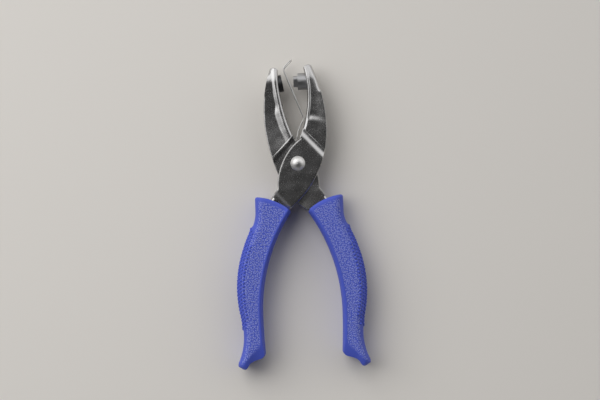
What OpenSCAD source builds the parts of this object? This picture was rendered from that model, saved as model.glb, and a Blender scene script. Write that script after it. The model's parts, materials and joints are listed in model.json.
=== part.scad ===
// Hand punch that cuts a small heart from paper: two pressed steel levers crossing at a rivet.
// Lengths are in millimetres. Every piece is drawn about the rivet, halfway between the cheeks,
// with +Y toward the jaws and the punch jaw on the +X side. The last move stands the tool on its grips.

/* [Sheet metal] */
// Thickness of the pressed sheet
sheet_t = 1.2; // [1:0.05:1.35]
// Outer width of the jaw and handle channels
channel_w = 11; // [10.5:0.1:12]
// Outer bend radius of the channels
bend_r = 1.8; // [1.5:0.1:2.1]
// Radius of the rounded jaw tips
tip_r = 2.7; // [2.6:0.05:3]
// Half the width of a nose where its rounded tip is centred
tip_half = 2.3; // [2.15:0.05:2.4]
// Height of the closed jaws' tips above the rivet
jaw_h = 50.7; // [50.2:0.1:51.2]

/* [Punch jaw] */
// Distance from the rivet's centre line to the hollow of the punch jaw's face
punch_face_x = 6; // [5.6:0.1:6.6]
// Height of that hollow above the rivet
punch_face_y = 35.7; // [34:0.1:37]
// Radius of the hollow face
punch_face_r = 57; // [53:1:62]
// Distance from the centre line to the widest place of the punch jaw's back
punch_back_x = 15.5; // [15:0.1:16.5]
// Height of the widest place above the rivet
punch_back_y = 18; // [17:0.5:19]
// Radius of the back below the widest place
punch_back_low_r = 52; // [48:1:58]

/* [Die jaw] */
// Distance from the centre line to the hollow of the die jaw's face, jaws closed
die_face_x = 1.3; // [0.9:0.1:1.8]
// Height of that hollow above the rivet
die_face_y = 33; // [31:0.5:35]
// Radius of the hollow face
die_face_r = 90; // [80:1:110]
// Distance from the centre line to the widest place of the die jaw's back, jaws closed
die_back_x = 12.9; // [12.5:0.1:13.5]
// Height of the widest place above the rivet
die_back_y = 15.5; // [14.5:0.5:17]
// Radius of the back below the widest place
die_back_low_r = 100; // [85:1:120]
// Length of the closed nose behind each jaw tip
nose_len = 13; // [11:0.5:16]
// How much thicker the sheet gets where the nose is pressed shut
nose_upset = 0.1; // [0.05:0.05:0.2]

/* [Crossing] */
// How far the die lever's cheeks step in to pass between the punch lever's
die_step = 0.35; // [0.3:0.05:0.5]
// Running gap between the cheeks of the two levers
cheek_gap = 0.15; // [0.1:0.05:0.25]
// Radius of the crossing plate's rounded upper edge
plate_r = 30.6; // [29:0.2:32]
// Centre of that edge, to the right of the rivet
plate_x = 19.9; // [19:0.1:20.5]
// Centre of that edge, below the rivet
plate_drop = 11.9; // [11:0.1:12.5]
// Tilt of the fold lines' normal, from +X
fold_deg = 42.7; // [41:0.1:45]
// Distance from the rivet to the punch jaw's fold
punch_fold = 11.3; // [11:0.1:12.5]
// Length of the slope at that fold
punch_ramp = 2.1; // [1.5:0.1:3]
// Distance from the rivet to the die jaw's fold
die_fold = 9.7; // [9.6:0.1:10.4]
// Length of the slope at that fold
die_ramp = 0.7; // [0.5:0.1:1.2]
// Distance from the rivet to the handle folds
handle_fold = 17.4; // [17.3:0.1:18.2]
// Length of the slope at the handle folds
handle_ramp = 2.3; // [1.8:0.1:2.6]

/* [Handles] */
// Radius of the handle web's outside
web_r = 97.5; // [96.5:0.5:98.5]
// Half the width over the handle webs at their widest place
web_x = 30.1; // [29.8:0.1:30.4]
// Height of that place, below the rivet
web_drop = 70.8; // [70.4:0.1:71.2]
// Height of the steel end of a handle, below the rivet
handle_end = 88; // [80:1:92]
// Radius of the handle cheeks' free edge
rim_r = 93.3; // [92.5:0.1:94.5]
// Half the width between the free edges at their widest place
rim_x = 22; // [21.7:0.1:22.2]
// Height of that place, below the rivet
rim_drop = 76.7; // [76.3:0.1:77.1]

/* [Rivet] */
// Diameter of the rivet's shank
rivet_d = 5; // [4:0.1:5.4]
// Diameter of the domed head
head_d = 7.6; // [7:0.1:9]
// Height of the domed head
head_h = 2.2; // [1.6:0.1:2.8]
// Diameter of the peened end
tail_d = 7; // [6:0.1:7.6]
// Height of the peened end
tail_h = 0.8; // [0.5:0.1:0.8]
// Diameter of the washer under the peened end
washer_d = 9; // [8:0.5:11]
// Thickness of that washer
washer_t = 0.6; // [0.4:0.1:0.6]
// Outer diameter of the spacer bush
bush_d = 6.2; // [5.8:0.1:6.4]
// Radial clearance of what turns on the rivet
turn_fit = 0.05; // [0.03:0.01:0.08]

/* [Punch and die] */
// Width of the heart
heart_w = 6.4; // [5.6:0.1:6.6]
// Radius of the heart's two lobes
lobe_r = 1.75; // [1.6:0.05:1.9]
// Steepness of the heart's straight sides
heart_deg = 46; // [42:1:50]
// Distance of the punch's axis below the jaw tips
punch_set = 8.5; // [8.2:0.1:8.8]
// Distance from the centre line to the punch collar's front
collar_x = 1.3; // [0.9:0.1:1.6]
// Length of the heart-shaped nose in front of the collar
cutter_len = 2.15; // [1.9:0.05:2.3]
// Diameter of the punch's collar
collar_d = 8.8; // [8.4:0.1:8.9]
// Diameter of the punch's shank in the web
punch_shank_d = 5; // [4:0.1:6]
// Length of the shank's riveted end behind the web
punch_tail = 0.9; // [0.6:0.1:1.2]
// Diameter of the die bush's flange
die_d = 8.8; // [8.4:0.1:9]
// Diameter of the die bush's shank in the web
die_shank_d = 7.9; // [7.8:0.1:8]
// Clearance between the heart-shaped nose and its hole
cut_gap = 0.15; // [0.13:0.01:0.2]
// Gap left between collar and die when the jaws are closed
closed_gap = 0.2; // [0.15:0.05:0.4]
// Angle between the open and the closed jaws
open_deg = 10.4; // [10:0.1:10.8]

/* [Springs] */
// Wire of the return spring
return_wire = 1; // [0.8:0.05:1.05]
// Full turns of the return spring
return_turns = 3; // [2:1:3]
// Gap between the turns
coil_gap = 0.45; // [0.42:0.01:0.5]
// Gap between the coil and the bush
coil_seat = 0.25; // [0.2:0.05:0.35]
// Height of the bends at the ends of the return spring's legs, below the rivet
leg_drop = 24.5; // [24:0.1:25]
// Distance of the toes, which lean on the handle webs, out from those bends
toe_out = 3.3; // [3:0.1:3.6]
// Drop of the toes below those bends
toe_drop = 2; // [1.5:0.1:2.5]
// Wire of the paper stripper
strip_wire = 0.6; // [0.5:0.05:0.7]
// Gap between the stripper wire and what it rests on
strip_seat = 0.15; // [0.1:0.05:0.2]
// Height of the stripper's tail behind the punch jaw's web, above the rivet
tail_y = 17.5; // [17:0.1:18]
// Height at which the stripper's wire turns over toward its knee, above the rivet
shin_y = 17.6; // [17:0.1:18]
// Distance of that turn from the rivet's centre line
shin_x = 1.1; // [1:0.1:1.3]
// Height of the stripper's knee above the rivet
knee_y = 22.8; // [22:0.2:24]
// Distance of the wire's last straight piece below the knee, toward the rivet's centre line
calf_in = 1.4; // [1.2:0.1:1.6]
// Height of that piece
calf_drop = 1.9; // [1.7:0.1:2.1]
// Bend radius of the stripper's wire
strip_bend = 1.5; // [1.2:0.1:1.8]
// Gap between the knee's middle and each of the two wires that meet there
knee_gap = 0.42; // [0.4:0.01:0.46]
// Lean of the fork from the vertical
fork_deg = 21; // [20:0.5:22]
// Height of the fork's bend above the punch's axis
bend_over = 6.8; // [6.5:0.1:7.2]
// Rise of the fork's flared end above that bend
flare_h = 4.4; // [4:0.1:5]
// Gap between the fork's legs and the punch collar
fork_gap = 0.25; // [0.2:0.05:0.4]
// Distance of the slot for the stripper's wire from the knee's height
slot_below = 2; // [1.6:0.1:2.4]

/* [Grips] */
// Thickness of the grips
grip_t = 16; // [15.9:0.1:18]
// Wall between a grip's hollow side and the handle's free edge
grip_wall = 1.6; // [1.4:0.1:2]
// Gap between the sleeve and the handle inside it
sleeve_gap = 0.12; // [0.08:0.02:0.2]
// Half the width over both grips at their upper corners
grip_top_x = 22.7; // [22:0.1:23.5]
// Height of the upper corners, below the rivet
grip_top_drop = 16.4; // [16:0.1:17]
// Height of the inner upper corners, below the rivet
mouth_drop = 24.4; // [24:0.1:25]
// Rise of the mouth's middle over the straight line between those corners
mouth_bow = 1.7; // [1.2:0.1:2]
// Length over which the upper corners run over into the palm swell
shoulder = 4; // [3:0.5:5]
// Half the width over both grips at the palm swell
swell_x = 33.2; // [33:0.1:34.5]
// Height of the palm swell, below the rivet
swell_drop = 64.5; // [62:0.5:67]
// Radius of the palm swell
swell_r = 62; // [60:0.5:64]
// Half the width over both grips at the waist above the foot
waist_x = 30.8; // [30.6:0.1:31.4]
// Height of that waist, below the rivet
waist_drop = 88; // [86:0.5:90]
// Radius of the outer side below the waist
flare_r = 31; // [28:0.5:36]
// Height of the foot's outer end, below the rivet
foot_drop = 105.6; // [104:0.2:107]
// Height of the foot's inner end, below the rivet
heel_drop = 98.2; // [97:0.2:99]
// Swell of the foot's lower edge under the straight line between its ends
foot_bow = 1.6; // [1.2:0.1:2]
// Width of the sloped inner side
inner_slope = 2.2; // [1.8:0.1:2.6]
// Width of the rounded outer side
outer_round = 4.6; // [4:0.1:5]

/* [Hidden] */
$fn = 120;

// Reach of cutting bodies that only have to go past the piece
past = 60;
// Overlap of two pieces of one solid
lap = 1.5;
// How far past a fold the channel with its web begins
fold_clear = 0.3;
// Depth of the bodies that the channels are cut from
skin_depth = 25;
// Angle by which a nose reaches down into the open channel
nose_lap = 1;
// Angles between which the jaw faces and the handle webs are swept, past both ends of the piece
face_sweep = [-30, 20];
web_sweep = [120, 210];
// Levels of the cheeks, from the middle plane outward
half_w = channel_w / 2;
die_out = half_w - die_step;
die_in = die_out - sheet_t;
plate_in = die_out + cheek_gap;
plate_out = plate_in + sheet_t;
// Radius of a jaw's back above its widest place, which brings the tip to the jaws' height
function back_high_r(face, face_r, back) =
  let (tip_y = jaw_h - tip_r, up = tip_y - back.y,
       in = back.x - face.x + face_r - sqrt((face_r + tip_half) ^ 2 - (tip_y - face.y) ^ 2))
  (in ^ 2 + up ^ 2 - tip_half ^ 2) / (2 * (in - tip_half));
// Jaws: hollow of the face and its radius, widest place of the back and its radii above and below
function jaw(face, face_r, back, low_r) = [face, face_r, back, back_high_r(face, face_r, back), low_r];
punch_jaw = jaw([punch_face_x, punch_face_y], punch_face_r, [punch_back_x, punch_back_y], punch_back_low_r);
die_jaw = jaw([die_face_x, die_face_y], die_face_r, [die_back_x, die_back_y], die_back_low_r);
// Crossing plate: edge centre, outer end and bottom of its lower edge, and where the handle takes over
plate_c = [plate_x, -plate_drop];
plate_side = [21.4, 12.5];
plate_notch = [0.69, -20.6];
plate_heel = [-7.4, -26.6];
// Centres of the handle web and of the cheeks' free edge
web_c = [web_r - web_x, -web_drop];
rim_c = [rim_r - rim_x, -rim_drop];
// Heights of the punch's axis and of the fork's bend above the rivet
punch_y = jaw_h - punch_set;
bend_y = punch_y + bend_over;
// Springs
coil_r = bush_d / 2 + coil_seat + return_wire / 2;
hook_r = bush_d / 2 + strip_seat + strip_wire / 2;
hook_z = die_in - cheek_gap - strip_seat - strip_wire / 2;
fork_z = collar_d / 2 + fork_gap + strip_wire / 2;
slot_half = hook_z + strip_wire / 2 + strip_seat;
// Die: flange face with the jaws closed
die_face = collar_x - closed_gap;
// Grips
cut_h = 0.2;
grip_inner_r = rim_r - grip_wall;
swell_c = [swell_r - swell_x, -swell_drop];
waist_in = [swell_c.x + waist_x, waist_drop - swell_drop];
hollow_r = (swell_r ^ 2 - waist_in * waist_in) / (2 * (waist_in.x - swell_r));
swell_end = swell_c + swell_r * unit([-waist_x - hollow_r, -waist_drop] - swell_c);
// Twice the radius of the inner side below the handle's bend, flatter than the handle itself
heel_bow = 600;
// Height of the middle plane over the surface that the tool lies on
lift = max(grip_t / 2, plate_out + washer_t + tail_h);

// Upper meeting point of two circles
function meet(a, ra, b, rb) =
  let (d = norm(b - a), u = (b - a) / d, s = (ra ^ 2 - rb ^ 2 + d ^ 2) / (2 * d))
  a + s * u + sqrt(ra ^ 2 - s ^ 2) * [-u.y, u.x];

function unit(v) = v / norm(v);
function ray(deg) = [cos(deg), sin(deg)];
function bearing(v) = atan2(v.y, v.x);

// Places on a jaw, from its list of sizes
function face_c(j) = [j[0].x - j[1], j[0].y];
function back_high_c(j) = [j[2].x - j[3], j[2].y];
function back_low_c(j) = [j[2].x - j[4], j[2].y];
function tip_c(j) = meet(face_c(j), j[1] + tip_half, back_high_c(j), j[3] - tip_half);
function nose_deg(j) = asin((tip_c(j).y + tip_r - nose_len - j[2].y) / j[3]);
function face_x(j, y) = face_c(j).x + sqrt(j[1] ^ 2 - (y - j[0].y) ^ 2);

// Places every piece in the frame of the whole tool
module stand() {
  translate([0, -mid_y, lift])
    children();
}

// Opens the die side, which is drawn as it lies with the jaws closed
module opened() {
  rotate([0, 0, open_deg])
    mirror([1, 0, 0])
      children();
}

// Section of a channel's skin: x runs into the body, and both edges at x = 0 are rounded
module skin_section(depth, inset) {
  half = half_w - inset;
  edge = bend_r - inset;
  translate([edge, -half])
    square([depth - edge, 2 * half]);
  translate([0, edge - half])
    square([2 * edge, 2 * (half - edge)]);
  for (side = [-1, 1])
    translate([edge, side * (half - edge)])
      circle(edge);
}

// Arc of that section: outward = 1 has the skin on the arc's outside, -1 on its inside
module skin_arc(c, r, outward, inset, from, to) {
  translate(c)
    rotate([0, 0, from])
      rotate_extrude(angle = to - from)
        translate([r - outward * inset, 0])
          mirror([max(outward, 0), 0])
            skin_section(skin_depth, inset);
}

// Extrusion thicker than the tool
module slab() {
  linear_extrude(height = 2 * channel_w, center = true)
    children();
}

// Half-plane of the fold's own distance, beyond a value
module fold_beyond(dist) {
  rotate(fold_deg)
    translate([dist, -past])
      square([2 * past, 2 * past]);
}

// Jaw face, from below the crossing to above the tip
module face_form(j, inset) {
  skin_arc(face_c(j), j[1], -1, inset, face_sweep[0], face_sweep[1]);
}

// Everything below a jaw's rounded tip, or below the hollow in it
module below_tip(j, inset) {
  translate(tip_c(j)) {
    circle(tip_r - inset);
    rotate(bearing(2 * tip_c(j) - face_c(j) - back_high_c(j)))
      translate([-past, -2 * past])
        square([2 * past, 2 * past]);
  }
}

// Closed nose of a jaw
module nose_form(j) {
  intersection() {
    face_form(j, 0);
    skin_arc(back_high_c(j), j[3], 1, 0, nose_deg(j) - nose_lap, 45);
    slab()
      below_tip(j, 0);
  }
}

// Hollow in the nose
module nose_hollow(j) {
  wall = sheet_t + nose_upset;
  linear_extrude(height = channel_w - 2 * wall, center = true)
    intersection() {
      below_tip(j, wall);
      difference() {
        translate(back_high_c(j))
          intersection() {
            circle(j[3] - wall);
            polygon([[0, 0], for (k = [0:2]) 3 * past * ray(nose_deg(j) - nose_lap + 30 * k)]);
          }
        translate(face_c(j))
          circle(j[1] + wall);
      }
    }
}

// Outline of a jaw's back
module back_outline(j, grow) {
  intersection() {
    translate(back_high_c(j))
      circle(j[3] + grow);
    translate([j[2].x - 2 * past, j[2].y])
      square([3 * past, 2 * past]);
  }
  intersection() {
    translate(back_low_c(j))
      circle(j[4] + grow);
    translate([j[2].x - 2 * past, j[2].y - 2 * past])
      square([3 * past, 2 * past]);
  }
}

// Open channel of a jaw, below its nose, or the hollow in it
module open_form(j, inset, grow) {
  intersection() {
    face_form(j, inset);
    linear_extrude(height = 2 * channel_w, center = true)
      difference() {
        back_outline(j, grow);
        translate(back_high_c(j))
          polygon([[0, 0], for (k = [0:2]) 3 * past * ray(nose_deg(j) + 40 * k)]);
      }
  }
}

module jaw_shell(j) {
  difference() {
    union() {
      nose_form(j);
      open_form(j, 0, 0);
    }
    nose_hollow(j);
    open_form(j, sheet_t, 4 * sheet_t);
  }
}

// Outline of the crossing plate
module plate_outline() {
  intersection() {
    translate(plate_c)
      circle(plate_r);
    polygon([plate_side, plate_notch, plate_heel, [-past, plate_heel.y], [-past, past], [plate_side.x, past]]);
  }
}

// Outline of a handle's cheeks
module handle_outline(grow) {
  difference() {
    translate(web_c)
      circle(web_r + grow);
    translate(rim_c)
      circle(rim_r - grow);
    translate([-past, -handle_end - 2 * past - grow])
      square([4 * past, 2 * past]);
    translate([0, -4 * past])
      square([4 * past, 8 * past]);
  }
}

// Both cheeks of a lever as one folded sheet section, drawn across the folds and drawn out along them
module folded_cheeks(level, jaw_fold, jaw_ramp) {
  line = [[2 * past, half_w], [jaw_fold + jaw_ramp, half_w], [jaw_fold, level],
          [-handle_fold, level], [-handle_fold - handle_ramp, half_w], [-2 * past, half_w]];
  rotate([0, 0, fold_deg])
    rotate([90, 0, 0])
      linear_extrude(height = 2 * past, center = true)
        for (side = [0, 1])
          mirror([0, side])
            polygon(concat(line, [for (k = [len(line) - 1:-1:0]) line[k] - [0, sheet_t]]));
}

// Outline of the cheeks, from a little way into the jaw to a little way into the handle
module cheek_outline(j, jaw_fold, jaw_ramp, turn) {
  difference() {
    union() {
      intersection() {
        plate_outline();
        rotate(-turn)
          back_outline(j, 0);
      }
      difference() {
        handle_outline(0);
        fold_beyond(-handle_fold + lap);
      }
      intersection() {
        rotate(-turn)
          difference() {
            back_outline(j, 0);
            translate(face_c(j))
              circle(j[1]);
          }
        fold_beyond(jaw_fold - lap);
      }
    }
    fold_beyond(jaw_fold + jaw_ramp + lap);
    mirror([1, 0])
      mirror([0, 1])
        fold_beyond(handle_fold + handle_ramp + lap);
  }
}

// Handle's body inside its web, or the hollow in it
module web_form(inset) {
  skin_arc(web_c, web_r, 1, inset, web_sweep[0], web_sweep[1]);
}

// Channel of a handle below its fold
module handle_channel() {
  intersection() {
    difference() {
      web_form(0);
      web_form(sheet_t);
    }
    linear_extrude(height = 2 * channel_w, center = true)
      difference() {
        handle_outline(0);
        fold_beyond(-handle_fold - handle_ramp - fold_clear);
      }
  }
}

// Pressed lever without its holes, with its jaw turned back about the rivet
module lever(j, level, jaw_fold, jaw_ramp, turn) {
  intersection() {
    rotate([0, 0, -turn])
      jaw_shell(j);
    slab()
      fold_beyond(jaw_fold + jaw_ramp + fold_clear);
  }
  intersection() {
    folded_cheeks(level, jaw_fold, jaw_ramp);
    slab()
      cheek_outline(j, jaw_fold, jaw_ramp, turn);
  }
  handle_channel();
}

// Round body along X at the punch's height
module across(d, from, to) {
  translate([from, punch_y, 0])
    rotate([0, 90, 0])
      cylinder(d = d, h = to - from);
}

module punch_lever() {
  color("silver")
    stand()
    difference() {
      lever(punch_jaw, plate_out, punch_fold, punch_ramp, 0);
      cylinder(d = rivet_d + 2 * turn_fit, h = 2 * channel_w, center = true);
      across(punch_shank_d + 2 * turn_fit, 0, punch_face_x + 2 * sheet_t);
    }
}

module die_lever() {
  color("silver")
    stand()
    mirror([1, 0, 0])
      difference() {
        lever(die_jaw, die_out, die_fold, die_ramp, open_deg);
        cylinder(d = rivet_d + 2 * turn_fit, h = 2 * channel_w, center = true);
        rotate([0, 0, -open_deg]) {
          across(die_shank_d + 2 * turn_fit, -past, die_face_x + 2 * sheet_t);
          // Slot in the web that lets the stripper's wire through
          translate([-past, 0, -slot_half])
            cube([past + die_face_x + 1.5 * sheet_t, knee_y - slot_below, 2 * slot_half]);
        }
      }
}

module pivot_rivet() {
  ball_r = (head_h ^ 2 + (head_d / 2) ^ 2) / (2 * head_h);
  color("gainsboro")
    stand() {
    translate([0, 0, -plate_out - washer_t])
      cylinder(d = rivet_d, h = 2 * plate_out + washer_t + head_h / 2);
    intersection() {
      translate([0, 0, plate_out + head_h - ball_r])
        sphere(ball_r);
      translate([0, 0, plate_out])
        cylinder(d = head_d, h = head_h);
    }
    translate([0, 0, -plate_out - washer_t - tail_h])
      cylinder(d1 = tail_d - 2 * tail_h, d2 = tail_d, h = tail_h);
  }
}

module rivet_washer() {
  color("gainsboro")
    stand()
    translate([0, 0, -plate_out - washer_t])
      difference() {
        cylinder(d = washer_d, h = washer_t);
        translate([0, 0, -washer_t])
          cylinder(d = rivet_d + 2 * turn_fit, h = 3 * washer_t);
      }
}

module spacer_bush() {
  len = 2 * (die_in - cheek_gap);
  color("dimgray")
    stand()
    difference() {
      cylinder(d = bush_d, h = len, center = true);
      cylinder(d = rivet_d + 2 * turn_fit, h = 2 * len, center = true);
    }
}

// Solid with triangle faces through a list of rings of one even length, whose ends are closed by strips
module loft(rings) {
  n = len(rings[0]);
  last = (len(rings) - 1) * n;
  sides = [for (i = [0:len(rings) - 2], k = [0:n - 1])
             let (a = i * n + k, b = i * n + (k + 1) % n)
             each [[a, b, b + n], [a, b + n, a + n]]];
  cap = [[0, 1, n - 1],
         for (k = [1:n / 2 - 2]) each [[k, k + 1, n - k - 1], [k, n - k - 1, n - k]],
         [n / 2 - 1, n / 2, n / 2 + 1]];
  caps = [for (c = cap) each [[c[0], c[2], c[1]], [last + c[0], last + c[1], last + c[2]]]];
  polyhedron([for (ring = rings) each ring], concat(sides, caps));
}

// Directions along a path, and side vectors that turn as little as they can
function headings(path) =
  [for (k = [0:len(path) - 1])
     unit(path[min(k + 1, len(path) - 1)] - path[max(k - 1, 0)])];
function sideways(dirs) =
  [for (k = 0, v = unit(cross(dirs[0], [1, 2, 5])); k < len(dirs);
        k = k + 1, v = k < len(dirs) ? unit(v - (v * dirs[k]) * dirs[k]) : v) v];

// Rings of a round wire along a path
function wire_rings(path, d, sides = 6) =
  let (dirs = headings(path), outs = sideways(dirs))
  [for (k = [0:len(path) - 1])
     [for (s = [0:sides - 1])
        path[k] + d / 2 * (cos(-360 * s / sides) * outs[k]
                           + sin(-360 * s / sides) * cross(dirs[k], outs[k]))]];

// Straight piece of a path over the most that a bend at one of its ends takes up
bend_room = 2.1;
// Path with its corners turned into smooth bends
function bent(path, r, steps = 4) =
  [path[0],
   for (k = [1:len(path) - 2])
     let (back = unit(path[k - 1] - path[k]), on = unit(path[k + 1] - path[k]),
          cut = min([r, norm(path[k - 1] - path[k]) / bend_room, norm(path[k + 1] - path[k]) / bend_room]))
     for (s = [0:steps])
       let (t = s / steps)
       path[k] + (1 - t) ^ 2 * cut * back + t ^ 2 * cut * on,
   path[len(path) - 1]];

// Least gap between parts of a wire that are more than some points apart
function own_gap(path, apart, d) =
  min([for (a = [0:len(path) - 1 - apart]) min([for (b = [a + apart:len(path) - 1]) norm(path[b] - path[a])])]) - d;

// Return spring: toe, leg, coil, leg and toe, with the toes leaning on the two handle webs
toe_seat = web_r - sheet_t - strip_seat - return_wire / 2;
toe = let (y = -leg_drop - toe_drop) [sqrt(toe_seat ^ 2 - (y - web_c.y) ^ 2) - web_c.x, y];
ankle = [toe.x - toe_out, -leg_drop];
leg_len = sqrt(ankle * ankle - coil_r ^ 2);
leg_deg = bearing(ankle) + atan2(leg_len, coil_r);
coil_pitch = return_wire + coil_gap;
coil_sweep = 180 - 2 * leg_deg + 360 * return_turns;
coil_rise = coil_pitch * coil_sweep / 360;
function coil_point(t) = [each coil_r * ray(leg_deg + coil_sweep * t), coil_rise * (t - 0.5)];
coil_steps = round(8 * coil_sweep / 360);
return_path = [[toe.x, toe.y, -coil_rise / 2], [ankle.x, ankle.y, -coil_rise / 2],
               for (k = [0:coil_steps]) coil_point(k / coil_steps),
               [-ankle.x, ankle.y, coil_rise / 2], [-toe.x, toe.y, coil_rise / 2]];
// Points of a path that lie along one bend, and are left out when its gap to itself is measured
coil_near = 5;
fork_near = 14;
echo(return_spring_gap = own_gap(return_path, coil_near, return_wire));

module return_spring() {
  color("slategray")
    stand()
    loft(wire_rings(return_path, return_wire));
}

// Stripper: each half starts behind the punch jaw's web, hooks round the bush and comes up to the knee
strip_off = strip_seat + strip_wire / 2;
knee = [face_x(punch_jaw, knee_y) - strip_off, knee_y];
tail_end = [face_x(punch_jaw, tail_y) + sheet_t + strip_off, tail_y];
shin = [shin_x, shin_y];
calf = knee - [calf_in, calf_drop];
function base_half(side) =
  [[each tail_end, side * hook_z],
   for (k = [0:5]) [each hook_r * ray(-36 * k), side * hook_z],
   [each shin, side * hook_z],
   [each calf, side * hook_z],
   [each knee - knee_gap * unit(knee - calf), side * hook_z]];
bend = knee + (bend_y - knee_y) * [-tan(fork_deg), 1];
flare = bend + flare_h * [1, 1];
function fork_half(side) =
  [[each knee + knee_gap * unit(bend - knee), side * hook_z],
   [each knee + 0.2 * (bend - knee), side * (hook_z + fork_z) / 2],
   [each knee + 0.4 * (bend - knee), side * fork_z],
   [each bend, side * fork_z],
   [each flare, side * fork_z]];
fork_path = let (front = fork_half(1), back = fork_half(-1))
            bent(concat(front, [for (k = [len(back) - 1:-1:0]) back[k]]), strip_bend);
fork_rings = wire_rings(fork_path, strip_wire);
echo(stripper_gap = own_gap(fork_path, fork_near, strip_wire));

module stripper_base() {
  color("gainsboro")
    stand()
    for (side = [-1, 1])
      loft(wire_rings(bent(base_half(side), 0.8 * strip_bend, 3), strip_wire));
}

module stripper_fork() {
  color("gainsboro")
    stand()
    loft(fork_rings);
}

// Heart, point toward -Y, grown on all sides
lobe_x = heart_w / 2 - lobe_r;
function heart_point(grow) = -(lobe_x * cos(heart_deg) + lobe_r + grow) / sin(heart_deg);

module heart(grow) {
  r = lobe_r + grow;
  cleft = acos(-lobe_x / r);
  steps = 12;
  lobe = [for (k = [0:steps]) [lobe_x, 0] + r * ray((cleft + heart_deg) * k / steps - heart_deg)];
  polygon([[0, heart_point(grow)], each lobe, for (k = [steps - 1:-1:0]) [-lobe[k].x, lobe[k].y]]);
}

// Heart drawn out along X, with the middle of its height on the punch's axis
module heart_bar(grow, from, to) {
  translate([from, punch_y - (lobe_r + heart_point(0)) / 2, 0])
    rotate([0, 90, 0])
      linear_extrude(height = to - from)
        heart(grow);
}

module punch() {
  color("dimgray")
    stand() {
    heart_bar(0, collar_x - cutter_len, collar_x + sheet_t);
    difference() {
      across(collar_d, collar_x, punch_face_x + sheet_t);
      face_form(punch_jaw, 0);
    }
    across(punch_shank_d, collar_x + sheet_t, face_x(punch_jaw, punch_y) + sheet_t + punch_tail);
  }
}

// The die bush is drawn on the +X side, as the die jaw is, and mirrored with it
module die_bush() {
  back = face_x(die_jaw, punch_y) + sheet_t;
  color("dimgray")
    stand()
    opened()
      difference() {
        union() {
          difference() {
            across(die_d, -die_face, back);
            face_form(die_jaw, 0);
          }
          across(die_shank_d, -die_face + sheet_t, back);
        }
        heart_bar(cut_gap, -past, past);
      }
}

// Edges of the left grip, seen from the front
function grip_inner(y) =
  y > rim_c.y ? rim_c.x - sqrt(grip_inner_r ^ 2 - (y - rim_c.y) ^ 2)
              : rim_c.x - grip_inner_r + (y - rim_c.y) ^ 2 / heel_bow;
function soft_max(a, b, soft) = max(a, b) + max(soft - abs(a - b), 0) ^ 2 / (4 * soft);
function grip_outer(y) =
  let (r = y > -waist_drop ? hollow_r : flare_r)
  y > swell_end.y ? -soft_max(grip_top_x, sqrt(swell_r ^ 2 - (y - swell_c.y) ^ 2) - swell_c.x, shoulder)
                  : sqrt(r ^ 2 - (y + waist_drop) ^ 2) - r - waist_x;

// Bow of a section along the grip, by its share of the grip's length and a point's share of its width
function grip_bow(s, t) =
  4 * t * (1 - t) * mouth_bow * max(1 - s / mouth_share, 0) ^ 2
  - 27 / 4 * t ^ 2 * (1 - t) * foot_bow * max(1 - (1 - s) / foot_share, 0) ^ 2;

// Section of a grip: rounded outer side, sloped inner side, drawn in by some amount all round
function grip_section(s, from, to, h, in, toe_in) =
  let (w = norm(to - from) - 2 * in - toe_in, u = unit(to - from), up = [u.y, -u.x],
       a = inner_slope, b = outer_round, z = h - in,
       upper = concat([for (k = [0:3]) [a - a * cos(30 * k), z * sin(30 * k)]],
                      [for (k = [1:2]) [a + (w - a - b) * k / 3, z]],
                      [for (k = [4:-1:0]) [w - b + b * cos(22.5 * k), z * sin(22.5 * k)]]),
       all = concat(upper, [for (k = [len(upper) - 2:-1:1]) [upper[k].x, -upper[k].y]]))
  [for (p = all) [each from + (in + p.x) * u + grip_bow(s, (in + p.x) / norm(to - from)) * up, p.y]];

// Shares of the grip's length over which its mouth and its foot are bowed
mouth_share = 0.12;
foot_share = 0.1;
// Share of the grip's length, how far its skin is drawn in there, how much thinner each half gets,
// and how far its outer end is rounded off, at its rounded ends
grip_h = grip_t / 2 + cut_h;
grip_stations = concat([[0, 1.2, 0, 0], [0.004, 0.35, 0, 0], [0.012, 0, 0, 0]],
                       [for (k = [1:32]) [0.012 + 0.928 * k / 32, 0, 0, 0]],
                       [[0.965, 0, 1.2, 0.2], [0.98, 0.1, 2.1, 0.7], [0.99, 0.35, 2.8, 1.4],
                        [0.996, 0.8, 3.2, 2.1], [1, 1.6, 3.6, 3]]);
grip_rings = [for (s = grip_stations)
                let (yi = -mouth_drop - (heel_drop - mouth_drop) * s[0],
                     yo = -grip_top_drop - (foot_drop - grip_top_drop) * s[0])
                grip_section(s[0], [grip_inner(yi), yi], [grip_outer(yo), yo], grip_h - s[2], s[1], s[3])];
// Middle of the tool's length, between the flared end of the fork and the lowest point of the feet
mid_y = (max([for (ring = fork_rings, p = ring) p.y]) + min([for (ring = grip_rings, p = ring) p.y])) / 2;

module grip() {
  difference() {
    intersection() {
      loft(grip_rings);
      cube([8 * past, 8 * past, grip_t], center = true);
    }
    intersection() {
      web_form(-sleeve_gap);
      linear_extrude(height = 2 * channel_w, center = true)
        handle_outline(sleeve_gap);
    }
    linear_extrude(height = channel_w + 2 * sleeve_gap, center = true)
      offset(delta = sleeve_gap)
        intersection() {
          plate_outline();
          translate([-past, -past])
            square([past, past - mouth_drop + lap * 3 + mouth_bow]);
        }
  }
}

module left_grip() {
  color("royalblue")
    stand()
    grip();
}

module right_grip() {
  color("royalblue")
    stand()
    mirror([1, 0, 0])
      grip();
}

punch_lever();
die_lever();
pivot_rivet();
rivet_washer();
spacer_bush();
return_spring();
stripper_base();
stripper_fork();
punch();
die_bush();
left_grip();
right_grip();
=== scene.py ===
"""Looks of a plier-type hand punch: plated levers, rivet, wires, cutting tools and soft dotted grips.

Every piece is drawn in millimetres about the rivet, with +Y toward the jaws and +Z toward the rivet's
domed head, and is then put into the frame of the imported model.
"""

import json
import math

import bmesh
import bpy
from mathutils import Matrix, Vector
from mathutils.bvhtree import BVHTree


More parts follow.
